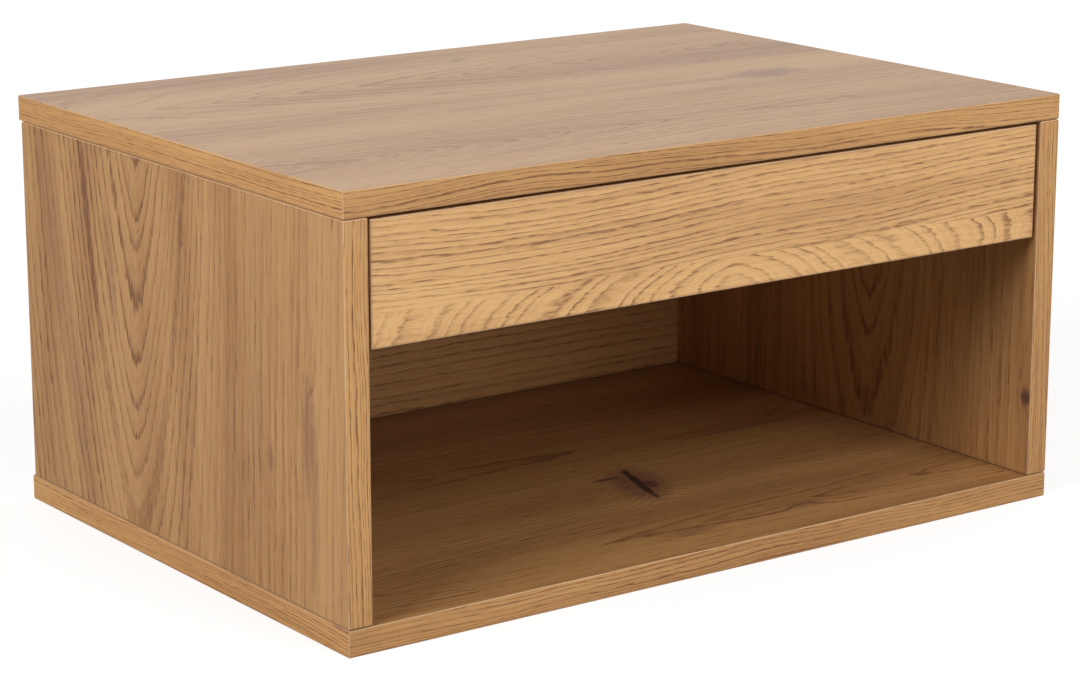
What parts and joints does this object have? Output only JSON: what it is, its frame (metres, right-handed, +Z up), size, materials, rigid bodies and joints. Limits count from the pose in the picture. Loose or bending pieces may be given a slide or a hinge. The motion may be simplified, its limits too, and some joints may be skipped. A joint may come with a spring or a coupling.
{
  "type": "nightstand",
  "caption": "Wall-hung oak-decor nightstand: a handle-less drawer on ball-bearing slides over an open niche.",
  "frame": {"origin": "centre of the base, at the middle of the width and the depth", "axes": "+X to the right seen from the front, +Y to the wall behind, +Z up"},
  "size_m": [0.5, 0.355, 0.247],
  "materials": {
    "oak_decor": "matt oak-grain melamine on particle board, edges banded to match",
    "drawer_bottom_foil": "plain pale foil on thin fibreboard",
    "beech": "bare fluted beech",
    "zinc_plate": "bright zinc plate, satin",
    "cage_steel": "bright pressed steel with a film of grease",
    "screw_zinc": "zinc plate",
    "cam_alloy": "die-cast zinc, dull"
  },
  "bodies": {
    "cabinet": {"top_panel": "oak_decor", "bottom_panel": "oak_decor", "left_side_panel": "oak_decor", "right_side_panel": "oak_decor", "back_panel": "oak_decor", "dowel_top_left_front": "beech", "dowel_top_left_rear": "beech", "dowel_top_right_front": "beech", "dowel_top_right_rear": "beech", "dowel_bottom_left_front": "beech", "dowel_bottom_left_rear": "beech", "dowel_bottom_right_front": "beech", "dowel_bottom_right_rear": "beech", "back_dowel_left_low": "beech", "back_dowel_left_high": "beech", "back_dowel_right_low": "beech", "back_dowel_right_high": "beech", "hanger_plate_left": "zinc_plate", "hanger_plate_right": "zinc_plate", "hanger_screw_left_inner": "screw_zinc", "hanger_screw_left_outer": "screw_zinc", "hanger_screw_right_inner": "screw_zinc", "hanger_screw_right_outer": "screw_zinc", "left_cabinet_member": "zinc_plate", "right_cabinet_member": "zinc_plate", "left_cabinet_member_screw_front": "screw_zinc", "left_cabinet_member_screw_rear": "screw_zinc", "right_cabinet_member_screw_front": "screw_zinc", "right_cabinet_member_screw_rear": "screw_zinc"},
    "drawer": {"drawer_front": "oak_decor", "drawer_left_side": "oak_decor", "drawer_right_side": "oak_decor", "drawer_back": "oak_decor", "drawer_bottom": "drawer_bottom_foil", "front_dowel_left": "beech", "front_dowel_right": "beech", "cam_lock_left": "cam_alloy", "cam_lock_right": "cam_alloy", "cam_bolt_left": "screw_zinc", "cam_bolt_right": "screw_zinc", "confirmat_left_low": "screw_zinc", "confirmat_left_high": "screw_zinc", "confirmat_right_low": "screw_zinc", "confirmat_right_high": "screw_zinc", "bottom_screw_left": "screw_zinc", "bottom_screw_right": "screw_zinc", "left_drawer_member": "zinc_plate", "right_drawer_member": "zinc_plate", "left_drawer_member_screw_front": "screw_zinc", "left_drawer_member_screw_rear": "screw_zinc", "right_drawer_member_screw_front": "screw_zinc", "right_drawer_member_screw_rear": "screw_zinc"},
    "left_intermediate": {"left_intermediate_member": "zinc_plate"},
    "right_intermediate": {"right_intermediate_member": "zinc_plate"},
    "left_outer_cage": {"left_outer_ball_cage": "cage_steel"},
    "right_outer_cage": {"right_outer_ball_cage": "cage_steel"},
    "left_inner_cage": {"left_inner_ball_cage": "cage_steel"},
    "right_inner_cage": {"right_inner_ball_cage": "cage_steel"}
  },
  "joints": [
    {"name": "drawer_slide", "type": "slide", "parent": "cabinet", "child": "drawer", "axis": [0, -1, 0], "range_m": [0, 0.3]},
    {"name": "left_intermediate_slide", "type": "slide", "parent": "cabinet", "child": "left_intermediate", "axis": [0, -1, 0], "range_m": [0, 0.15]},
    {"name": "right_intermediate_slide", "type": "slide", "parent": "cabinet", "child": "right_intermediate", "axis": [0, -1, 0], "range_m": [0, 0.15]},
    {"name": "left_outer_cage_slide", "type": "slide", "parent": "cabinet", "child": "left_outer_cage", "axis": [0, -1, 0], "range_m": [0, 0.075]},
    {"name": "right_outer_cage_slide", "type": "slide", "parent": "cabinet", "child": "right_outer_cage", "axis": [0, -1, 0], "range_m": [0, 0.075]},
    {"name": "left_inner_cage_slide", "type": "slide", "parent": "cabinet", "child": "left_inner_cage", "axis": [0, -1, 0], "range_m": [0, 0.225]},
    {"name": "right_inner_cage_slide", "type": "slide", "parent": "cabinet", "child": "right_inner_cage", "axis": [0, -1, 0], "range_m": [0, 0.225]}
  ],
  "couplings": [
    {"joint": "left_intermediate_slide", "follows": "drawer_slide", "ratio": 0.5},
    {"joint": "right_intermediate_slide", "follows": "drawer_slide", "ratio": 0.5},
    {"joint": "left_outer_cage_slide", "follows": "drawer_slide", "ratio": 0.25},
    {"joint": "right_outer_cage_slide", "follows": "drawer_slide", "ratio": 0.25},
    {"joint": "left_inner_cage_slide", "follows": "drawer_slide", "ratio": 0.75},
    {"joint": "right_inner_cage_slide", "follows": "drawer_slide", "ratio": 0.75}
  ]
}
